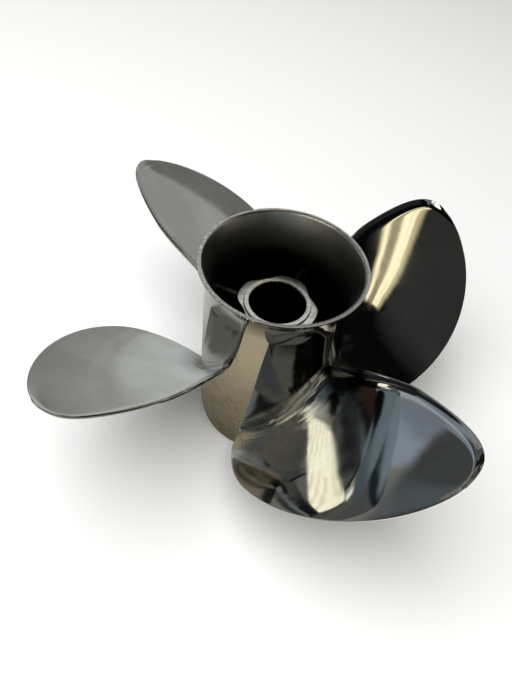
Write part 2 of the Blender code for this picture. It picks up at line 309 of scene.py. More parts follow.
# %% Ribs with cast radii
def long_edges(bm, length):
    return [
        edge for edge in bm.edges if abs(edge.verts[0].co.x - edge.verts[1].co.x) > 0.5 * length
    ]


def make_rib(number):
    inner = LOBE_RADIUS - RIB_OVERLAP
    outer = INNER_RADIUS + RIB_OVERLAP
    length = outer - inner
    bm = bmesh.new()
    bmesh.ops.create_cube(bm, size=1.0)
    bmesh.ops.scale(bm, vec=(length, RIB_THICKNESS, rib_high.z - rib_low.z), verts=bm.verts)
    bmesh.ops.bevel(
        bm, geom=long_edges(bm, length), offset=RIB_EDGE_RADIUS, segments=4, profile=0.5,
        affect="EDGES", material=-1,
    )
    bmesh.ops.subdivide_edges(bm, edges=long_edges(bm, length), cuts=30)
    for vert in bm.verts:
        from_end = length / 2 - RIB_OVERLAP - abs(vert.co.x)
        fall = min(1.0, max(0.0, 1 - from_end / RIB_FILLET))
        vert.co.y += math.copysign(RIB_FILLET * (1 - math.sqrt(1 - fall ** 2)), vert.co.y)
    turn = Matrix.Rotation(RIB_TURN + (number - 1) * math.pi / 2, 4, "Z")
    move = Matrix.Translation(((inner + outer) / 2, 0.0, (rib_low.z + rib_high.z) / 2))
    bmesh.ops.transform(bm, matrix=turn @ move, verts=bm.verts)
    return finish_piece(bm, f"web_{number}", [f"rib_{number}"], 30)


ribs = [make_rib(number) for number in range(1, 5)]

# %% [markdown]
# ## The blades
#
# A blade is a screw surface with thickness. It is drawn as one closed loop of edges, the outline of
# a section, which is extruded from the barrel to the tip and put in place at each station. Each
# point of the loop keeps its order number in a layer, which `extrude` copies along.

# %% Sizes of the blades
BLADE_TURN = math.radians(-95.7)
TIP_RADIUS = 0.1816
ROOT_MIDDLE_Z = 0.0619
RAKE_ANGLE = math.radians(22)
ROOT_PITCH = 0.364
TIP_PITCH = 0.391
WIDEST_RADIUS = 0.1187
HALF_WIDTH = 0.0639
LAST_HALF_WIDTH = 0.0012
ROOT_NARROWING = 0.463
ROOT_NARROWING_POWER = 1.55
SKEW_TERMS = (0.265, -0.185, 0.292)
ROOT_THICKNESS = 0.0105
TIP_THICKNESS = 0.0030
THICKNESS_POWER = 1.8
SHORT_CHORD = 0.03
FULLNESS_POWER = 0.8
LEADING_EDGE = 0.0014
TRAILING_EDGE = 0.0030
TIP_EDGE_SHARE = 0.7
CUP_HEIGHT = 0.0030
CUP_WIDTH = 0.008
CUP_POWER = 2.7
TIP_LIFT = 0.0024
TIP_LIFT_START = 0.4
CUP_RUN_OUT = 0.020
FACE_HOLLOW = 0.0013
HOLLOW_FADE = 0.7
HOLLOW_LEAN = 0.0009
FILLET_RADIUS = 0.009
FILLET_END_SHARE = 0.35
FILLET_END_CHORD = 0.22
FILLET_ANGLES = (0, 3, 7, 12, 18, 25, 33, 42, 52, 62, 72, 81, 90)
ABOVE_FILLET = BARREL_RADIUS + FILLET_RADIUS * 1.05
SKIRT_WIDTH = 0.0006
CHORD_STEPS = 60
EDGE_STEPS = 14
CROWDED_SHARE = 0.75
print(f"blades reach {1000 * TIP_RADIUS:.1f} mm, pitch {1000 * ROOT_PITCH:.0f} mm at the root")

# %% Outline and twist of a blade
def span_share(radius):
    return (radius - BARREL_RADIUS) / (TIP_RADIUS - BARREL_RADIUS)


def half_width(radius):
    outwards = np.clip((radius - WIDEST_RADIUS) / (TIP_RADIUS - WIDEST_RADIUS), 0.0, 1.0)
    inwards = np.clip((WIDEST_RADIUS - radius) / (WIDEST_RADIUS - BARREL_RADIUS), 0.0, 1.1)
    narrowing = 1 - ROOT_NARROWING * inwards ** ROOT_NARROWING_POWER
    return HALF_WIDTH * np.sqrt(1 - outwards ** 2) * narrowing


def middle_arc(radius):
    share = span_share(radius)
    return radius * sum(term * share ** (i + 1) for i, term in enumerate(SKEW_TERMS))


def trailing_edge(radius):
    return TRAILING_EDGE * (1 - (1 - TIP_EDGE_SHARE) * span_share(radius) ** 3)


def edge_distance(radius, arc):
    """Distance from a point of the face to the trailing edge, or past the tip to the tip itself."""
    small = 0.0002
    near = middle_arc(radius) + half_width(radius)
    lower = radius - small
    lean = (near - middle_arc(lower) - half_width(lower)) / small
    past_tip = np.maximum(radius * sum(SKEW_TERMS) - arc, 0.0)
    return np.hypot((near - arc) / np.sqrt(1 + lean ** 2), past_tip)


def cup_share(radius, arc):
    """How far the cup has risen at a point of the face, from 0 inside to 1 at the trailing edge."""
    return np.clip(1 - edge_distance(radius, arc) / CUP_WIDTH, 0.0, 1.0) ** CUP_POWER


def cup_size(radius):
    """1 along the trailing edge, and falling to 0 towards the tip, where the cup runs out."""
    beyond_tip = middle_arc(radius) + half_width(radius) - radius * sum(SKEW_TERMS)
    share = np.clip(beyond_tip / CUP_RUN_OUT, 0.0, 1.0)
    return np.where(radius > WIDEST_RADIUS, share ** 2 * (3 - 2 * share), 1.0)


# %% One section as a loop of points
def loop_layout():
    """For each point of the loop: share of the chord, share from face to back, bulge at the end."""
    even = np.linspace(0.0, 1.0, CHORD_STEPS + 1)
    crowded = (1 - np.cos(np.pi * even)) / 2
    shares = even + (crowded - even) * CROWDED_SHARE
    turns = np.pi * np.arange(1, 2 * EDGE_STEPS) / (2 * EDGE_STEPS)
    none = np.zeros(len(shares))
    chord = np.concatenate([shares, np.ones(len(turns)), shares[::-1], np.zeros(len(turns))])
    depth = np.concatenate([none, (1 - np.cos(turns)) / 2, none + 1, (1 + np.cos(turns)) / 2])
    bulge = np.concatenate([none, 0.7 * np.sin(turns), none, -np.sin(turns)])
    return chord, depth, bulge


CHORD, DEPTH, BULGE = loop_layout()


def section(radius):
    """Points (arc, z) of the loop, where radius holds one value for each point."""
    span = span_share(radius)
    slope = (ROOT_PITCH + (TIP_PITCH - ROOT_PITCH) * span) / (2 * np.pi * radius)
    length = np.sqrt(1 + slope ** 2)
    along = np.stack([1 / length, slope / length])
    under = np.stack([slope / length, -1 / length])
    width = half_width(radius)
    first = middle_arc(radius) - width + LEADING_EDGE / 2
    last = middle_arc(radius) + width - trailing_edge(radius) / 2 * along[0]
    chord = last - first
    arc = first + chord * CHORD
    into_cup = cup_share(radius, arc)
    level = CHORD ** 2 + (1 - CHORD ** 2) * cup_share(radius, first)
    outer = np.clip((span - TIP_LIFT_START) / (1 - TIP_LIFT_START), 0.0, 1.0)
    lift = CUP_HEIGHT * (into_cup - level) + TIP_LIFT * into_cup * np.sin(outer * np.pi / 2)
    cup = lift * cup_size(radius)
    depth = FACE_HOLLOW * (1 - HOLLOW_FADE * span ** 2) + HOLLOW_LEAN * (2 * CHORD - 1)
    hollow = 4 * CHORD * (1 - CHORD) * depth
    rake = np.tan(RAKE_ANGLE) * (radius - BARREL_RADIUS)
    z = ROOT_MIDDLE_Z + rake + slope * arc + cup - hollow
    edge = LEADING_EDGE + (trailing_edge(radius) - LEADING_EDGE) * CHORD
    full = TIP_THICKNESS + (ROOT_THICKNESS - TIP_THICKNESS) * (1 - span) ** THICKNESS_POWER
    fade_in = 1 - np.exp(-chord / SHORT_CHORD)
    thickness = edge + (full - edge) * fade_in * (4 * CHORD * (1 - CHORD)) ** FULLNESS_POWER
    return np.stack([arc, z]) + under * thickness * DEPTH + along * thickness / 2 * BULGE


print("points in a section:", len(CHORD))

# %% [markdown]
# The root fillet is a quarter circle between the blade and the barrel. Going down it, the loop
# widens and comes closer to the barrel, until it lies flat on it. Round the two ends of the section
# the fillet is smaller, as it is on the casting. Under the barrel's surface a hidden skirt goes on
# in the same direction, so that the shading has no crease where the two pieces meet.

# %% Fillet and stations
def fillet_size():
    inwards = np.clip(np.minimum(CHORD, 1 - CHORD) / FILLET_END_CHORD, 0.0, 1.0)
    share = FILLET_END_SHARE + (1 - FILLET_END_SHARE) * np.sin(inwards * np.pi / 2)
    return FILLET_RADIUS * share


def loop_normals(points):
    step = np.roll(points, -1, axis=1) - np.roll(points, 1, axis=1)
    normal = np.stack([step[1], -step[0]])
    return normal / np.linalg.norm(normal, axis=0)


def place_loop(radius, grow=0.0, sink=0.0):
    """Points in space of a loop that is grown outwards and lowered towards the axis."""
    radius = radius + np.zeros(len(CHORD))
    outwards = loop_normals(section(np.full(len(CHORD), BARREL_RADIUS)))
    arc, z = section(radius) + outwards * grow
    closeness = np.clip(1 - (radius - BARREL_RADIUS) / FILLET_RADIUS, 0.0, 1.0)
    barrel_here = np.array([barrel_outside(height) for height in z])
    real = radius + (barrel_here - BARREL_RADIUS) * closeness - sink
    turn = arc / radius
    return np.stack([real * np.cos(turn), real * np.sin(turn), z], axis=1)


def blade_loops():
    fillet = fillet_size()
    loops = [place_loop(BARREL_RADIUS, fillet + SKIRT_WIDTH, sink) for sink in (0.0012, 0.00006)]
    for angle in np.radians(FILLET_ANGLES):
        radius = BARREL_RADIUS + fillet * (1 - math.cos(angle))
        loops.append(place_loop(radius, fillet * (1 - math.sin(angle)), 0.000004))
    fillet_top = BARREL_RADIUS + fillet
    radii = [fillet_top + (ABOVE_FILLET - fillet_top) * share for share in (0.3, 0.65, 1.0)]
    radii += spread(ABOVE_FILLET, WIDEST_RADIUS, 26)[1:]
    for angle in spread(0.0, math.acos(LAST_HALF_WIDTH / HALF_WIDTH), 64)[1:]:
        radii.append(WIDEST_RADIUS + (TIP_RADIUS - WIDEST_RADIUS) * math.sin(angle))
    return loops + [place_loop(radius) for radius in radii]


loops = blade_loops()
print("stations in a blade:", len(loops))

# %% [markdown]
# With the loops known, the mesh follows: extrude, put in place, repeat. At the tip a last ring
# shrinks into one point. At the foot the two long sides are bridged inside the barrel's wall.

# %% Extrude one blade
TIP_RINGS = ((0.7, 0.00012), (0.35, 0.0002))
TIP_POINT_RISE = 0.00022


def close_foot(bm, order):
    """Bridges the face side of the first loop to its back side, hidden in the barrel's wall."""
    foot = {vert[order]: vert for vert in bm.verts if vert.is_boundary}
    sides = []
    for first in (0, CHORD_STEPS + 2 * EDGE_STEPS):
        for i in range(first, first + CHORD_STEPS):
            sides.append(bm.edges.get((foot[i], foot[i + 1])))
    bmesh.ops.bridge_loops(bm, edges=sides)
    ends = [edge for edge in bm.edges if edge.is_boundary]
    bmesh.ops.holes_fill(bm, edges=ends, sides=4 * EDGE_STEPS)
    print("open edges of the blade:", sum(edge.is_boundary for edge in bm.edges))


def make_blade_form():
    """One blade; the layer `polish` keeps each point's arc, radius and height for the finish."""
    bm = bmesh.new()
    order = bm.verts.layers.int.new("order")
    polish = bm.verts.layers.float_vector.new("polish")
    bmesh.ops.create_circle(bm, cap_ends=False, radius=1.0, segments=len(CHORD))
    for i, vert in enumerate(bm.verts):
        vert[order] = i
        vert.co = loops[0][i]
    loop = bm.edges[:]
    for points in loops[1:]:
        loop, verts = extrude_loop(bm, loop)
        for vert in verts:
            vert.co = points[vert[order]]
    middle = sum((vert.co for vert in verts), Vector()) / len(verts)
    outwards = Vector((middle.x, middle.y, 0.0)).normalized()
    for shrink, rise in TIP_RINGS:
        loop, verts = extrude_loop(bm, loop)
        for vert in verts:
            start = Vector(loops[-1][vert[order]])
            vert.co = middle + (start - middle) * shrink + outwards * rise
    loop, verts = extrude_loop(bm, loop)
    bmesh.ops.pointmerge(bm, verts=verts, merge_co=middle + outwards * TIP_POINT_RISE)
    close_foot(bm, order)
    for vert in bm.verts:
        radius = math.hypot(vert.co.x, vert.co.y)
        vert[polish] = Vector((math.atan2(vert.co.y, vert.co.x) * radius, radius, vert.co.z))
    return bm


blade_form = make_blade_form()

# %% Four blades a quarter turn apart
def make_blade(number):
    bm = blade_form.copy()
    turn = Matrix.Rotation(BLADE_TURN + (number - 1) * math.pi / 2, 4, "Z")
    bmesh.ops.transform(bm, matrix=turn, verts=bm.verts)
    name = f"propeller_blade_{number}"
    return finish_piece(bm, name, [f"blade_{number}"], 60)


blades = [make_blade(number) for number in range(1, 5)]
blade_form.free()

# %% [markdown]
# ## Finishes
#
# The real propeller was ground and then buffed to a mirror by hand. That leaves a surface that is
# bright but never quite even: low waves a few centimetres long, ripples where the wheel passed,
# hairlines along the stroke, cloudy patches where the compound was not wiped off, and small pits
# of the casting. Geometry could carry the waves, but they are only hundredths of a millimetre high,
# so bump is the right tool. Each effect is a node group, built once, and each finish takes from it
# what it needs. A few helpers keep the node code short.

# %% Small helpers for shader nodes
def fill(tree, node, inputs):
    """Gives each listed input a link or a value, where a colour has three numbers."""
    for key, value in inputs.items():
        socket = node.inputs[key]
        if isinstance(value, bpy.types.NodeSocket):
            tree.links.new(value, socket)
        else:
            socket.default_value = (*value, 1.0) if socket.type == "RGBA" else value


def add_node(tree, kind, inputs={}, **settings):
    """Adds a node, sets its properties and fills its inputs."""
    node = tree.nodes.new(kind)
    for name, value in settings.items():
        setattr(node, name, value)
    fill(tree, node, inputs)
    return node


def calculate(tree, operation, *values):
    node = add_node(tree, "ShaderNodeMath", dict(enumerate(values)), operation=operation)
    return node.outputs[0]


def times(tree, product, *factors):
    for factor in factors:
        product = calculate(tree, "MULTIPLY", product, factor)
    return product


def add_up(tree, total, *parts):
    """A total plus each part, where a part is (value, factor)."""
    for value, factor in parts:
        total = calculate(tree, "MULTIPLY_ADD", value, factor, total)
    return total


def ease(tree, value, low, high):
    """0 below low, 1 above high, and a smooth step between."""
    inputs = {"Value": value, "From Min": low, "From Max": high}
    node = add_node(tree, "ShaderNodeMapRange", inputs, interpolation_type="SMOOTHSTEP")
    return node.outputs["Result"]


def fade(tree, value, low, high):
    """1 below low, 0 above high, and a smooth step between."""
    return calculate(tree, "SUBTRACT", 1.0, ease(tree, value, low, high))


def measure(tree, operation, *vectors):
    """A vector operation that gives one number, such as LENGTH, DISTANCE or DOT_PRODUCT."""
    node = add_node(tree, "ShaderNodeVectorMath", dict(enumerate(vectors)), operation=operation)
    return node.outputs["Value"]


def stretch(tree, vector, factors):
    node = add_node(tree, "ShaderNodeVectorMath", {0: vector, 1: factors}, operation="MULTIPLY")
    return node.outputs["Vector"]


def combine(tree, *numbers):
    return add_node(tree, "ShaderNodeCombineXYZ", dict(enumerate(numbers))).outputs[0]


def separate(tree, vector):
    return add_node(tree, "ShaderNodeSeparateXYZ", {0: vector}).outputs


def mix_colours(tree, share, first, second):
    inputs = {0: share, 6: first, 7: second}
    return add_node(tree, "ShaderNodeMix", inputs, data_type="RGBA").outputs[2]


def paint(tree, colour, *layers):
    """Lays colours over a first one, where a layer is (share, colour)."""
    for share, layer in layers:
        colour = mix_colours(tree, share, colour, layer)
    return colour


def noise(tree, place, scale, detail=2.0, roughness=0.5):
    inputs = {"Vector": place, "Scale": scale, "Detail": detail, "Roughness": roughness}
    return add_node(tree, "ShaderNodeTexNoise", inputs).outputs["Fac"]


# %% Helpers for node groups
def new_group(name, vectors, numbers, outputs):
    """An empty node group with named sockets; returns it with its entry and its exit."""
    group = bpy.data.node_groups.new(name, "ShaderNodeTree")
    sockets = [(label, "INPUT", "NodeSocketVector") for label in vectors]
    sockets += [(label, "INPUT", "NodeSocketFloat") for label in numbers]
    sockets += [(label, "OUTPUT", "NodeSocketFloat") for label in outputs]
    for label, side, kind in sockets:
        group.interface.new_socket(name=label, in_out=side, socket_type=kind)
    print("shared group:", name)
    entry = group.nodes.new("NodeGroupInput").outputs
    return group, entry, group.nodes.new("NodeGroupOutput").inputs


def use_group(tree, group, **values):
    """Puts a group into a tree; an argument such as wave_length fills the input Wave Length."""
    inputs = {name.replace("_", " ").title(): value for name, value in values.items()}
    return add_node(tree, "ShaderNodeGroup", inputs, node_tree=group).outputs


def scale_of(tree, size):
    """The scale at which a texture repeats once in so many metres."""
    return calculate(tree, "DIVIDE", 1.0, size)


# %% Group: waves and ripples of a hand-polished face
def make_waves_group():
    """Stroke is a place whose first number runs along the polishing stroke."""
    numbers = ("Wave Length", "Wave Height", "Ripple Length", "Ripple Height")
    group, entry, leave = new_group("buffing_waves", ("Place", "Stroke"), numbers, ("Height",))

    def swell(kind, place, roughness):
        scale = scale_of(group, entry[f"{kind} Length"])
        level = calculate(group, "SUBTRACT", noise(group, place, scale, 1.0, roughness), 0.5)
        return times(group, level, entry[f"{kind} Height"])

    wave = swell("Wave", entry["Place"], 0.35)
    ripple = swell("Ripple", stretch(group, entry["Stroke"], (0.15, 1.0, 1.0)), 0.4)
    group.links.new(calculate(group, "ADD", wave, ripple), leave["Height"])
    return group


waves_group = make_waves_group()

# %% Group: hairlines along the stroke, in patches
def make_hairlines_group():
    numbers = ("Length", "Spacing", "Patch Size", "Depth")
    outputs = ("Height", "Patches")
    group, entry, leave = new_group("hairlines", ("Place", "Stroke"), numbers, outputs)
    shrink = calculate(group, "DIVIDE", entry["Spacing"], entry["Length"])
    across = stretch(group, entry["Stroke"], combine(group, shrink, 1.0, 1.0))
    lines = noise(group, across, scale_of(group, entry["Spacing"]), 3.0, 0.55)
    cloud = noise(group, entry["Place"], scale_of(group, entry["Patch Size"]))
    strength = times(group, lines, ease(group, cloud, 0.42, 0.62))
    group.links.new(times(group, strength, entry["Depth"]), leave["Height"])
    group.links.new(strength, leave["Patches"])
    return group


hairlines_group = make_hairlines_group()

# %% Group: cloudy patches with soft edges
def make_haze_group():
    group, entry, leave = new_group("haze", ("Place",), ("Size", "Low", "High"), ("Haze",))
    cloud = noise(group, entry["Place"], scale_of(group, entry["Size"]), 4.0, 0.6)
    group.links.new(ease(group, cloud, entry["Low"], entry["High"]), leave["Haze"])
    return group


haze_group = make_haze_group()

# %% Group: scattered pits or specks, each with its own size
def make_specks_group():
    """Share is the part of the cells that hold a speck; Size is its radius as a share of a cell."""
    group, entry, leave = new_group("specks", ("Place",), ("Spacing", "Share", "Size"), ("Mask",))
    inputs = {"Vector": entry["Place"], "Scale": scale_of(group, entry["Spacing"])}
    cells = add_node(group, "ShaderNodeTexVoronoi", inputs)
    chance = add_node(group, "ShaderNodeSeparateColor", {"Color": cells.outputs["Color"]}).outputs
    chosen = calculate(group, "LESS_THAN", chance["Red"], entry["Share"])
    radius = times(group, calculate(group, "ADD", chance["Green"], 0.3), entry["Size"])
    inside = calculate(group, "SUBTRACT", radius, cells.outputs["Distance"])
    spot_share = ease(group, inside, 0.0, times(group, radius, 0.5))
    group.links.new(times(group, spot_share, chosen), leave["Mask"])
    return group


specks_group = make_specks_group()

# %% Group: file marks along a blade's root
def make_file_marks_group():
    """Along and Across are distances from a blade's root line, measured on the metal."""
    numbers = ("Along", "Across", "Spacing", "Depth")
    group, entry, leave = new_group("file_marks", (), numbers, ("Height", "Dark"))
    flat = combine(group, times(group, entry["Along"], 0.03), entry["Across"])
    marks = noise(group, flat, scale_of(group, entry["Spacing"]))
    group.links.new(times(group, marks, entry["Depth"]), leave["Height"])
    group.links.new(ease(group, marks, 0.46, 0.60), leave["Dark"])
    return group


file_marks_group = make_file_marks_group()

# %% [markdown]
# A finish starts as a metal with one colour and one roughness, set on the shader's own sockets.
# What varies over the surface is then linked in. Heights are in metres, so a bump of distance 1
# shows them at their real size.

# %% Helpers that start a metal and link what varies
STEEL = (0.62, 0.62, 0.61)
BARREL_STEEL = (0.64, 0.625, 0.575)


def new_metal(name, colour, roughness):
    material = bpy.data.materials.new(name)
    material.use_nodes = True
    tree = material.node_tree
    metal = {"Base Color": colour, "Metallic": 1.0, "Roughness": roughness}
    fill(tree, tree.nodes["Principled BSDF"], metal)
    print("finish:", name)
    return material, tree, add_node(tree, "ShaderNodeTexCoord").outputs["Object"]


def link_finish(tree, colour, roughness, heights):
    """Links a colour, a roughness and the sum of some heights to the metal's shader."""
    total = heights[0]
    for height in heights[1:]:
        total = calculate(tree, "ADD", total, height)
    bump = add_node(tree, "ShaderNodeBump", {"Height": total, "Distance": 1.0, "Strength": 1.0})
    links = {"Base Color": colour, "Roughness": roughness, "Normal": bump.outputs["Normal"]}
    fill(tree, tree.nodes["Principled BSDF"], links)


# %% [markdown]
# ### The blades
#
# The blades' driving faces are the brightest part. The wheel ran along the arc, so the ripples lie
# across the radius and the hairlines run along it. Near the root, where the wheel could not reach
# well, there is haze with dried water marks. The fillet at the barrel was filed by hand, so its
# marks follow the root line, and along that crease the colour is darkened in streaks as painted
# shade. One blade's inner corner at the barrel is painted dark, as painted shade.

# %% Finish of the blades
ROOT_SLOPE = ROOT_PITCH / (2 * math.pi * BARREL_RADIUS)
# Middle of a painted shadow, in the inner corner between one blade's trailing edge and the barrel.
SHADED_CORNER = (0.033, -0.058, 0.1015)


def make_blade_finish():
    material, tree, place = new_metal("polished_blade", STEEL, 0.04)
    stroke = add_node(tree, "ShaderNodeAttribute", attribute_name="polish").outputs["Vector"]
    parts = separate(tree, stroke)
    flat = stretch(tree, stroke, (1.0, 1.0, 0.0))
    waves = use_group(
        tree, waves_group, place=place, stroke=flat,
        wave_length=0.024, wave_height=0.000090, ripple_length=0.0042, ripple_height=0.0000060,
    )
    hairlines = use_group(
        tree, hairlines_group, place=place, stroke=flat,
        length=0.030, spacing=0.0011, patch_size=0.035, depth=0.0000030,
    )
    haze = use_group(tree, haze_group, place=place, size=0.012, low=0.45, high=0.75)
    marks = times(tree, haze["Haze"], fade(tree, parts["Y"], 0.066, 0.125))
    pits = use_group(tree, specks_group, place=place, spacing=0.009, share=0.25, size=0.06)
    ragged = add_up(tree, parts["Y"], (noise(tree, place, 160.0, 3.0, 0.6), -0.006))
    fillet = fade(tree, ragged, BARREL_RADIUS, BARREL_RADIUS + FILLET_RADIUS)
    raised = add_up(tree, parts["Z"], (parts["X"], -ROOT_SLOPE))
    across = add_up(tree, parts["Y"], (raised, 0.7))
    filed = use_group(
        tree, file_marks_group, along=parts["X"], across=across, spacing=0.0022, depth=0.00024
    )
    # The streaks follow the file marks; their darkness along the root crease is painted shade.
    crease_shade_streaks = times(tree, fillet, filed["Dark"], 0.40)
    # Near that corner the colour is painted almost black, as painted shade.
    painted_corner_shade = fade(tree, measure(tree, "DISTANCE", place, SHADED_CORNER), 0.013, 0.022)
    colour = paint(
        tree, STEEL,
        (hairlines["Patches"], (0.74, 0.75, 0.76)),
        (marks, (0.70, 0.73, 0.73)),
        (pits["Mask"], (0.22, 0.22, 0.21)),
        (crease_shade_streaks, (0.10, 0.10, 0.095)),
        (painted_corner_shade, (0.03, 0.03, 0.028)),
    )
    rough = add_up(tree, 0.035, (marks, 0.16), (hairlines["Patches"], 0.07), (fillet, 0.04))
    sink = times(tree, pits["Mask"], -0.00004)
    scratches = times(tree, filed["Height"], fillet)
    link_finish(tree, colour, rough, (waves["Height"], hairlines["Height"], sink, scratches))
    return material


polished_blade = make_blade_finish()

# %% [markdown]
# ### The barrel's outside
#
# Between the blades the wheel could only run up and down the barrel, so its hairlines stand
# upright. Its lower half has small brown specks, sunk a little as pits, and their brown is a
# painted reflection of a speckled floor. Above each blade's root the file marks of the fillet run
# on for a few millimetres.

# %% Finish of the barrel's outside
def make_barrel_finish():
    material, tree, place = new_metal("polished_barrel", BARREL_STEEL, 0.05)
    parts = separate(tree, place)
    upright = combine(tree, parts["Z"], parts["X"], parts["Y"])
    waves = use_group(
        tree, waves_group, place=place, stroke=upright,
        wave_length=0.024, wave_height=0.000110, ripple_length=0.005, ripple_height=0.0000060,
    )
    hairlines = use_group(
        tree, hairlines_group, place=place, stroke=upright,
        length=0.040, spacing=0.0010, patch_size=0.030, depth=0.0000025,
    )
    low_half = fade(tree, parts["Z"], 0.045, 0.100)
    specks = use_group(tree, specks_group, place=place, spacing=0.0030, share=0.6, size=0.34)
    cloud = use_group(tree, haze_group, place=place, size=0.010, low=0.35, high=0.65)
    fine_speckle = use_group(tree, haze_group, place=place, size=0.0020, low=0.40, high=0.62)
    patchy = times(tree, low_half, add_up(tree, 0.4, (cloud["Haze"], 0.6)))
    # The brown of these specks is a painted reflection of a speckled floor; the same mask sinks
    # them a little as pits.
    pits_and_floor_reflection = times(tree, calculate(tree, "MAXIMUM", specks["Mask"], fine_speckle["Haze"]), patchy)
    colour = paint(
        tree, BARREL_STEEL,
        (times(tree, cloud["Haze"], 0.35), (0.55, 0.53, 0.48)),
        (times(tree, pits_and_floor_reflection, 0.62), (0.26, 0.20, 0.13)),
    )
    rough = add_up(tree, 0.045, (patchy, 0.10), (hairlines["Patches"], 0.05))
    turn = calculate(tree, "ARCTAN2", parts["Y"], parts["X"])
    turn = calculate(tree, "SUBTRACT", turn, BLADE_TURN)
    turn = calculate(tree, "WRAP", turn, math.pi / 4, -math.pi / 4)
    arc = times(tree, turn, BARREL_RADIUS)
    over = calculate(tree, "SUBTRACT", parts["Z"], ROOT_MIDDLE_Z)
    across = add_up(tree, over, (arc, -ROOT_SLOPE))
    filed = use_group(
        tree, file_marks_group, along=arc, across=across, spacing=0.0022, depth=0.00020
    )
    beside = times(tree, fade(tree, across, 0.014, 0.024), ease(tree, across, 0.0, 0.006))
    sink = times(tree, pits_and_floor_reflection, -0.00002)
    scratches = times(tree, filed["Height"], beside)
    link_finish(tree, colour, rough, (waves["Height"], hairlines["Height"], sink, scratches))
    return material


polished_barrel = make_barrel_finish()

# %% [markdown]
# ### Turned faces
#
# The barrel's rim and the hub's aft face are turned on a lathe and left satin. Their marks are
# rings, so the texture is read by distance from the axis. On one side the rim has been knocked, and
# its edge is rough with small nicks; that whole side is also painted near white, a painted
# highlight.

# %% Finish of the turned faces
NICKED_AND_HIGHLIT_SIDE = (-1.0, 0.04, 0.0)


def make_turned_finish(name, steel, roughness, nicked_and_highlit):
    material, tree, place = new_metal(name, steel, roughness)
    radius = measure(tree, "LENGTH", stretch(tree, place, (1.0, 1.0, 0.0)))
    wandering = add_up(tree, radius, (noise(tree, place, 140.0, 1.0), 0.0006))
    hairlines = use_group(
        tree, hairlines_group, place=place, stroke=combine(tree, 0.0, wandering),
        length=0.02, spacing=0.0005, patch_size=0.012, depth=0.000010,
    )
    specks = use_group(tree, specks_group, place=place, spacing=0.0018, share=0.45, size=0.30)
    cloud = use_group(tree, haze_group, place=place, size=0.004, low=0.35, high=0.70)
    layers = [
        (times(tree, cloud["Haze"], 0.5), tuple(0.8 * part for part in steel)),
        (times(tree, specks["Mask"], 0.25), (0.28, 0.27, 0.26)),
    ]
    heights = [hairlines["Height"], times(tree, noise(tree, place, 900.0), 0.00002)]
    if nicked_and_highlit:
        # On the knocked side the colour is painted near white, a painted highlight; the knocks
        # themselves are bumps.
        side = ease(tree, measure(tree, "DOT_PRODUCT", place, NICKED_AND_HIGHLIT_SIDE), 0.026, 0.050)
        knocks = ease(tree, noise(tree, place, 420.0, 2.0, 0.6), 0.46, 0.60)
        layers.append((side, (0.95, 0.95, 0.93)))
        heights.append(times(tree, knocks, side, -0.00020))
    rough = add_up(tree, roughness - 0.04, (cloud["Haze"], 0.12))
    link_finish(tree, paint(tree, steel, *layers), rough, heights)
    return material


turned_rim = make_turned_finish("turned_rim", (0.66, 0.65, 0.63), 0.28, nicked_and_highlit=True)
# The hub's face gets a lighter steel than the rim; the extra lightness is painted light that makes
# up for the shade of the barrel around it.
turned_face = make_turned_finish("turned_face", (0.84, 0.84, 0.81), 0.27, nicked_and_highlit=False)

# %% [markdown]
# ### Cast faces and the exhaust passage
#
# The hub and the ribs keep the skin of the casting: rough, grey and dimpled. The inside of the
# barrel is given a light steel near its mouth, which paints a sheen there, and a darker colour
# further in, so colour and roughness follow the depth below the rim.

# %% Finish of the cast faces
def make_cast_finish():
    material, tree, place = new_metal("cast_skin", (0.26, 0.255, 0.25), 0.5)
    cloud = use_group(tree, haze_group, place=place, size=0.006, low=0.35, high=0.70)
    specks = use_group(tree, specks_group, place=place, spacing=0.0025, share=0.5, size=0.3)
    colour = paint(
        tree, (0.22, 0.218, 0.215),
        (cloud["Haze"], (0.09, 0.088, 0.085)),
        (specks["Mask"], (0.07, 0.07, 0.065)),
    )
    rough = add_up(tree, 0.40, (cloud["Haze"], 0.2))
    dimples = times(tree, noise(tree, place, 550.0, 3.0, 0.6), 0.00025)
    link_finish(tree, colour, rough, (dimples, times(tree, specks["Mask"], -0.00015)))
    return material


cast_skin = make_cast_finish()

# %% Finish of the exhaust passage
def make_passage_finish(name, mouth_colour):
    material, tree, place = new_metal(name, mouth_colour, 0.4)
    cloud = use_group(tree, haze_group, place=place, size=0.014, low=0.30, high=0.75)
    edge = add_up(tree, separate(tree, place)["Z"], (cloud["Haze"], 0.006))
    below_mouth = fade(tree, edge, BARREL_LENGTH - 0.027, BARREL_LENGTH - 0.002)
    deep = fade(tree, edge, BARREL_LENGTH - 0.050, BARREL_LENGTH - 0.018)
    # Lighter near the mouth, a painted sheen, and darker further in.
    colour = paint(
        tree, mouth_colour,
        (below_mouth, (0.24, 0.24, 0.23)),
        (deep, (0.035, 0.035, 0.034)),
        (times(tree, cloud["Haze"], 0.25), (0.10, 0.095, 0.085)),
    )
    rough = add_up(tree, 0.32, (below_mouth, 0.10))
    drawn_out = stretch(tree, place, (1.0, 1.0, 0.12))
    streaks = times(tree, noise(tree, drawn_out, 500.0), 0.000012)
    grain = times(tree, noise(tree, place, 300.0, 3.0, 0.6), 0.00005)
    link_finish(tree, colour, rough, (streaks, grain))
    return material


passage = make_passage_finish("exhaust_passage", (0.90, 0.88, 0.83))
# The bore's dark steel paints the shade deep inside the hub.
bore_wall = make_passage_finish("hub_bore", (0.20, 0.20, 0.19))

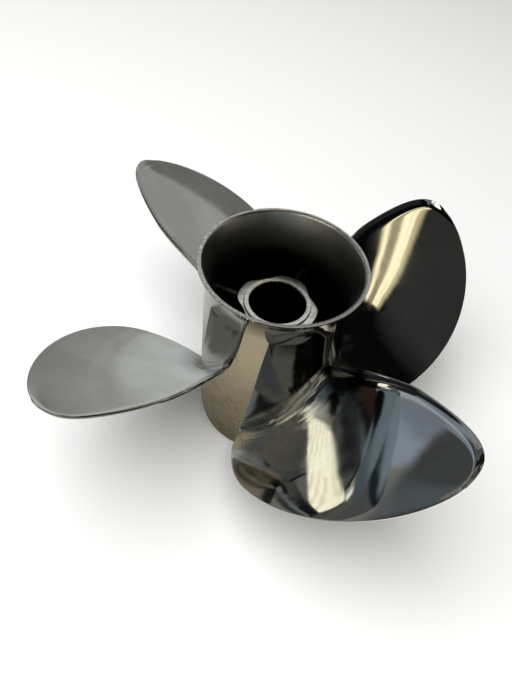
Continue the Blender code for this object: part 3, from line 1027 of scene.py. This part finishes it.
# %% Give each piece its finish
finishes = [(barrel, (polished_barrel, turned_rim, passage))]
finishes += [(hub, (turned_face, cast_skin, bore_wall))]
finishes += [(rib, (cast_skin,)) for rib in ribs] + [(blade, (polished_blade,)) for blade in blades]
for piece, materials in finishes:
    for material in materials:
        piece.data.materials.append(material)
print("finished pieces:", len(finishes))

# %% [markdown]
# ## The room
#
# A polished casting has hardly a colour of its own: it shows the room. The camera and the floor
# see a plain pale studio, and the metal sees soft boxes, grey walls and a dark ceiling, all drawn
# in the world's shader by direction. A direction is given as an azimuth from the way the camera
# looks, positive to its left, and a height above the horizon.

# %% Directions in the room
CAMERA_PLACE = Vector((-0.1432, -0.2693, 0.4346))
CAMERA_RIGHT = Vector((0.93356, -0.34208, 0.10701)).normalized()
CAMERA_DOWN = Vector((-0.19811, -0.74127, -0.64130)).normalized()
camera_forward = CAMERA_RIGHT.cross(CAMERA_DOWN)
FRONT_AZIMUTH = math.atan2(camera_forward.y, camera_forward.x)


def direction(azimuth, elevation):
    turn = FRONT_AZIMUTH + math.radians(azimuth)
    rise = math.radians(elevation)
    level = math.cos(rise)
    return Vector((math.cos(turn) * level, math.sin(turn) * level, math.sin(rise)))


print("camera looks along", [round(value, 3) for value in camera_forward])

# %% Walls and ceiling
GREY_WALL = (0.22, 0.22, 0.20)
LOW_WALL = (0.17, 0.17, 0.155)
DARK_CEILING = (0.036, 0.037, 0.035)
BLACK = (0.003, 0.003, 0.003)

world = bpy.data.worlds.new("studio")
bpy.context.scene.world = world
world.use_nodes = True
room = world.node_tree
room.nodes.clear()
looking = add_node(room, "ShaderNodeTexCoord").outputs["Generated"]


def toward(vector):
    return measure(room, "DOT_PRODUCT", looking, vector)


def wall_ramp(*stops):
    """Colour by height, where a stop is (elevation in degrees, colour)."""
    ramp = add_node(room, "ShaderNodeValToRGB", {"Fac": add_up(room, 0.5, (upwards, 0.5))})
    elements = ramp.color_ramp.elements
    while len(elements) < len(stops):
        elements.new(0.5)
    for element, (elevation, colour) in zip(elements, stops):
        element.position = 0.5 + 0.5 * math.sin(math.radians(elevation))
        element.color = (*colour, 1.0)
    return ramp.outputs["Color"]


upwards = toward(direction(0, 90))
front_wall = wall_ramp(
    (-3, (0.37, 0.37, 0.35)), (3, (0.32, 0.32, 0.30)), (10, GREY_WALL), (45, GREY_WALL),
    (60, DARK_CEILING),
)
back_wall = wall_ramp(
    (-5, (0.20, 0.20, 0.18)), (6, LOW_WALL), (14, (0.12, 0.12, 0.11)), (24, (0.02, 0.02, 0.02)),
    (32, BLACK), (62, BLACK), (69, DARK_CEILING),
)
facing_front = ease(room, toward(direction(0, 0)), -0.2, 0.1)
light = mix_colours(room, facing_front, back_wall, front_wall)
print("walls:", len(room.nodes), "nodes")

# %% [markdown]
# A panel is a soft-edged patch of one colour: light from a window, a lamp, a curtain, a dark
# corner. The group below finds whether a place lies between a start and an end across, and between
# a low and a high edge. `Lean` slants its sides and `Slope` its low and high edges: each says how
# far the edge moves for one step in the other direction, counted from zero.
#
# On the walls, across is the azimuth and up is the height, both in degrees. The azimuth's seam lies
# at the right, where no panel crosses it.

# %% Group: one soft panel
def make_panel_group():
    numbers = ("Across", "Up", "Start", "End", "Low", "High", "Lean", "Slope", "Softness")
    group, entry, leave = new_group("soft_panel", (), numbers, ("Mask",))
    slant = times(group, entry["Up"], entry["Lean"])
    turned = calculate(group, "SUBTRACT", entry["Across"], slant)
    rise = times(group, entry["Across"], entry["Slope"])
    raised = calculate(group, "SUBTRACT", entry["Up"], rise)
    below = times(group, entry["Softness"], -1.0)
    spans = (
        (turned, entry["Start"]),
        (entry["End"], turned),
        (raised, entry["Low"]),
        (entry["High"], raised),
    )
    mask = 1.0
    for larger, smaller in spans:
        inside = calculate(group, "SUBTRACT", larger, smaller)
        mask = times(group, ease(group, inside, below, entry["Softness"]), mask)
    group.links.new(mask, leave["Mask"])
    return group


panel_group = make_panel_group()


def add_panels(light, across, up, rows):
    """Lays panels over the light; a row is start, end, low, high, softness, colour, lean, slope."""
    for start, end, low, high, softness, colour, *slants in rows:
        lean, slope = slants or (0.0, 0.0)
        panel = use_group(
            room, panel_group, across=across, up=up, start=start, end=end, low=low, high=high,
            lean=lean, slope=slope, softness=softness,
        )
        light = mix_colours(room, panel["Mask"], light, colour)
    return light


# %% Panels on the walls
SEAM_AZIMUTH = 105
SLAT_STEP = 1.3

ahead = toward(direction(SEAM_AZIMUTH, 0))
aside = toward(direction(SEAM_AZIMUTH + 90, 0))
turned_share = calculate(room, "DEGREES", calculate(room, "ARCTAN2", aside, ahead))
azimuth = calculate(room, "ADD", turned_share, SEAM_AZIMUTH)
height = calculate(room, "DEGREES", calculate(room, "ARCSINE", upwards))
slat_place = calculate(room, "PINGPONG", height, SLAT_STEP / 2)
slat_shade = ease(room, slat_place, 0.20 * SLAT_STEP, 0.42 * SLAT_STEP)
daylight = mix_colours(room, slat_shade, (2.45, 2.40, 1.98), (1.55, 1.50, 1.18))

WALL_PANELS = (
    # The wall and its cornice at the right, and the bright wall over the camera's view.
    (-64, -14, 2, 39, 2.0, (0.38, 0.38, 0.36)),
    (-64, -38, 20, 39, 5.0, (0.44, 0.44, 0.42)),
    (-64, -22, 39, 52, 1.5, (0.19, 0.19, 0.18)),
    (-22, 18, 42, 64, 4.0, (0.75, 0.75, 0.72)),
    (-20, -2, 8, 27, 2.5, (0.54, 0.54, 0.51)),
    # The low wall at the left grows darker away from the view.
    (20, 76, -6, 22, 4.0, (0.19, 0.19, 0.175)),
    (44, 77, 19, 30, 3.0, (0.07, 0.074, 0.072)),
    (57, 77, 13.5, 30, 2.5, (0.065, 0.068, 0.066)),
    # The cool wall at the left, brighter away from the view, with a dark curtain before it.
    (40, 92, 30, 40, 2.0, (0.29, 0.34, 0.40)),
    (48, 72, 38, 44, 2.0, (0.21, 0.25, 0.29)),
    (70, 92, 29, 46, 5.0, (0.41, 0.46, 0.52)),
    (80, 92, 1, 31, 3.0, (0.23, 0.265, 0.305)),
    (-25, 0, 23, 54, 2.0, (0.060, 0.062, 0.062), 1.15, 0.0),
    (-25, 0, 23, 33, 3.0, (0.090, 0.105, 0.118), 1.15, 0.0),
    # The dim corner at the left.
    (95, 119, 24, 44, 3.0, (0.15, 0.15, 0.14)),
    (87, 98, 29, 44, 1.5, (0.030, 0.030, 0.030)),
    (91, 98, 5, 34, 1.2, (0.015, 0.016, 0.017)),
    (97, 112, 17, 27, 1.5, (0.015, 0.016, 0.017)),
    (115, 142, 14.8, 18.0, 0.8, (0.23, 0.25, 0.26)),
    # The window behind has level slats, and a dark wall over it.
    (117, 163.5, 35.7, 47.5, 0.5, daylight, 0.0, -0.145),
    (119, 182, 22.3, 62, 0.6, BLACK),
    (110, 147, 22.2, 31, 0.6, BLACK),
    (163.5, 175, 8.5, 19, 3.0, (0.78, 0.79, 0.74)),
    (168, 182, 20.4, 30, 1.2, BLACK),
    (165, 173.5, 9.2, 13.2, 1.2, (2.0, 2.0, 1.85)),
    # The cool wall behind, dark over a slanted edge, with a bright line on that edge.
    (175, 214, -8, 18.5, 2.0, (0.13, 0.18, 0.23)),
    (189, 214, -8, 18.5, 5.0, (0.25, 0.33, 0.41)),
    (181, 216, 144.5, 190, 1.2, BLACK, 0.0, -0.67),
    (180.5, 187.5, 19.0, 28.5, 0.8, (0.25, 0.31, 0.36)),
    (160, 173, -10.5, -9.9, 0.4, (0.28, 0.31, 0.32), 0.0, 0.20),
    (172.5, 181.5, -70.7, -70.3, 0.3, (0.30, 0.34, 0.36), 0.0, 0.55),
    (177, 190, 31, 36, 1.5, (0.050, 0.026, 0.022)),
    # The dark wall at the right.
    (208, 262, -12, 36, 3.0, (0.020, 0.020, 0.020)),
    (262, 286, 2, 46, 3.0, (0.19, 0.19, 0.18)),
)
light = add_panels(light, azimuth, height, WALL_PANELS)
print("panels on the walls:", len(WALL_PANELS))

# %% [markdown]
# Two long lamps hang overhead, side by side. Their panels lie on a level plane over the object: a
# direction divided by its rise gives the place where it meets that plane, one metre up.

# %% Lamps overhead
LAMP_GLOW = (0.44, 0.37, 0.22)
LAMP_EDGE = (0.78, 0.66, 0.42)
LAMP_LIGHT = (1.60, 1.47, 0.95)
LAMP_SEAM = (1.10, 0.98, 0.60)
LAMP_TURN = math.radians(-15.4)

lamp_turn = Matrix.Rotation(LAMP_TURN, 3, direction(0, 90))
rise = calculate(room, "MAXIMUM", upwards, 0.001)
lamp_across, lamp_up = (
    calculate(room, "DIVIDE", toward(lamp_turn @ axis), rise)
    for axis in (direction(-90, 0), direction(-90, 0).cross(direction(0, 90)))
)
LAMP_PANELS = (
    (0.162, 0.395, -0.05, 0.43, 0.012, LAMP_GLOW),
    (0.176, 0.276, -0.06, 0.43, 0.008, LAMP_EDGE),
    (0.202, 0.270, -0.06, 0.43, 0.006, LAMP_LIGHT),
    (0.226, 0.231, -0.06, 0.43, 0.003, LAMP_SEAM),
    (0.330, 0.386, 0.01, 0.43, 0.010, LAMP_EDGE),
    (0.340, 0.372, 0.01, 0.43, 0.008, LAMP_LIGHT),
)
light = add_panels(light, lamp_across, lamp_up, LAMP_PANELS)
print("panels of the lamps:", len(LAMP_PANELS))

# %% What the camera and the metal see
PALE = (0.93, 0.93, 0.93)
rays = add_node(room, "ShaderNodeLightPath").outputs
seen = mix_colours(room, rays["Is Camera Ray"], light, PALE)
background = add_node(room, "ShaderNodeBackground", {"Color": seen, "Strength": 1.0})
add_node(room, "ShaderNodeOutputWorld", {"Surface": background.outputs[0]})
bpy.context.scene.view_settings.view_transform = "Standard"
print("room:", len(room.nodes), "nodes")

# %% [markdown]
# The floor is pale. In the metal it shows darker, warm towards the camera and cool behind, and it
# falls off close to the barrel, in the shade of the object.

# %% Floor
FLOOR_SIZE = 6.0
FLOOR_TONE = (0.88, 0.88, 0.88)
WARM_FLOOR = (0.50, 0.44, 0.32)
COOL_FLOOR = (0.54, 0.56, 0.54)
FAR_FLOOR_LEFT = (0.23, 0.24, 0.23)
FAR_FLOOR_RIGHT = (0.38, 0.385, 0.36)
FAR_FLOOR_BEHIND = (0.14, 0.155, 0.165)
DARK_RUNNER = (0.020, 0.034, 0.050)
COOL_PATH = (0.31, 0.39, 0.48)
DARK_CORNER = (0.02, 0.02, 0.02)
SHADE_UNDER_BLADES = (0.01, 0.01, 0.01)
DAYLIGHT_ON_FLOOR = (1.20, 1.15, 0.98)


def strips_behind(tree, depth, side, distance):
    """Dark runner, cool path and dark corner, from behind the camera's place to its right."""
    ratio = calculate(tree, "DIVIDE", side, calculate(tree, "MINIMUM", depth, -0.05))
    spans = (
        (0.14, 0.23, 0.30, 0.44, DARK_RUNNER),
        (0.31, 0.40, 0.42, 0.62, COOL_PATH),
        (0.66, 0.85, 0.26, 0.40, DARK_CORNER),
    )
    return [
        (times(tree, ease(tree, ratio, first, last), ease(tree, distance, near, far)), colour)
        for first, last, near, far, colour in spans
    ]


def spot(tree, ground, middle, inner, outer):
    """1 within the inner distance of a place on the floor, 0 beyond the outer one."""
    return fade(tree, measure(tree, "DISTANCE", ground, (*middle, 0.0)), inner, outer)


def floor_in_metal(tree):
    """The emission that mirror rays find on the floor."""
    place = add_node(tree, "ShaderNodeTexCoord").outputs["Object"]
    depth = measure(tree, "DOT_PRODUCT", place, direction(0, 0))
    side = measure(tree, "DOT_PRODUCT", place, direction(90, 0))
    ground = combine(tree, depth, side)
    distance = measure(tree, "LENGTH", place)
    leftwards = calculate(tree, "DIVIDE", side, calculate(tree, "MAXIMUM", depth, 0.05))
    left = ease(tree, leftwards, 0.42, 0.66)
    far_tone = mix_colours(tree, left, FAR_FLOOR_RIGHT, FAR_FLOOR_LEFT)
    ahead_tone = mix_colours(tree, ease(tree, distance, 0.28, 1.30), COOL_FLOOR, far_tone)
    behind_tone = paint(
        tree, WARM_FLOOR,
        (ease(tree, distance, 0.20, 0.42), FAR_FLOOR_BEHIND),
        *strips_behind(tree, depth, side, distance),
    )
    tone = paint(
        tree, behind_tone,
        (ease(tree, depth, -0.06, 0.08), ahead_tone),
        (spot(tree, ground, (-0.165, -0.155), 0.045, 0.085), DAYLIGHT_ON_FLOOR),
        (spot(tree, ground, (-0.010, -0.140), 0.032, 0.050), SHADE_UNDER_BLADES),
    )
    inputs = {"Value": distance, "From Min": 0.02, "From Max": 0.145}
    shade = add_node(tree, "ShaderNodeMapRange", inputs).outputs["Result"]
    return add_node(tree, "ShaderNodeEmission", {"Color": tone, "Strength": shade}).outputs[0]


def make_floor():
    bm = bmesh.new()
    bmesh.ops.create_grid(bm, x_segments=1, y_segments=1, size=FLOOR_SIZE)
    mesh = bpy.data.meshes.new("studio_floor")
    bm.to_mesh(mesh)
    bm.free()
    floor = link_object("studio_floor", mesh)
    material = bpy.data.materials.new("pale_floor")
    material.use_nodes = True
    tree = material.node_tree
    shader = tree.nodes["Principled BSDF"]
    paper = {"Base Color": FLOOR_TONE, "Roughness": 0.9, "Specular IOR Level": 0.0}
    fill(tree, shader, paper)
    glossy = add_node(tree, "ShaderNodeLightPath").outputs["Is Glossy Ray"]
    inputs = {0: glossy, 1: shader.outputs[0], 2: floor_in_metal(tree)}
    both = add_node(tree, "ShaderNodeMixShader", inputs)
    tree.links.new(both.outputs[0], tree.nodes["Material Output"].inputs["Surface"])
    mesh.materials.append(material)
    print(f"floor: {2 * FLOOR_SIZE:.0f} m across")


make_floor()

# %% Soft light for the floor
LIGHT_SIZE = 2.4
LIGHT_DISTANCE = 2.2
LIGHT_POWER = 75

light_data = bpy.data.lights.new("overhead_light", "AREA")
light_data.shape = "SQUARE"
light_data.size = LIGHT_SIZE
light_data.energy = LIGHT_POWER
soft_box = link_object("overhead_light", light_data)
facing = direction(130, 70)
soft_box.location = facing * LIGHT_DISTANCE
soft_box.rotation_euler = facing.to_track_quat("Z", "Y").to_euler()
soft_box.visible_glossy = False
print(f"overhead light: {LIGHT_POWER} W")

# %% Camera
LENS_MM = 31.14
FRAME_SHIFT = -0.0151
NEAREST = 0.01

camera_data = bpy.data.cameras.new("photo_view")
camera_data.lens = LENS_MM
camera_data.shift_x = FRAME_SHIFT
camera_data.clip_start = NEAREST
camera = link_object("photo_view", camera_data)
axes = Matrix((CAMERA_RIGHT, -CAMERA_DOWN, -camera_forward)).transposed().to_4x4()
camera.matrix_world = Matrix.Translation(CAMERA_PLACE) @ axes
bpy.context.scene.camera = camera
print(f"camera: {LENS_MM} mm, {CAMERA_PLACE.length:.2f} m from the barrel's foot")
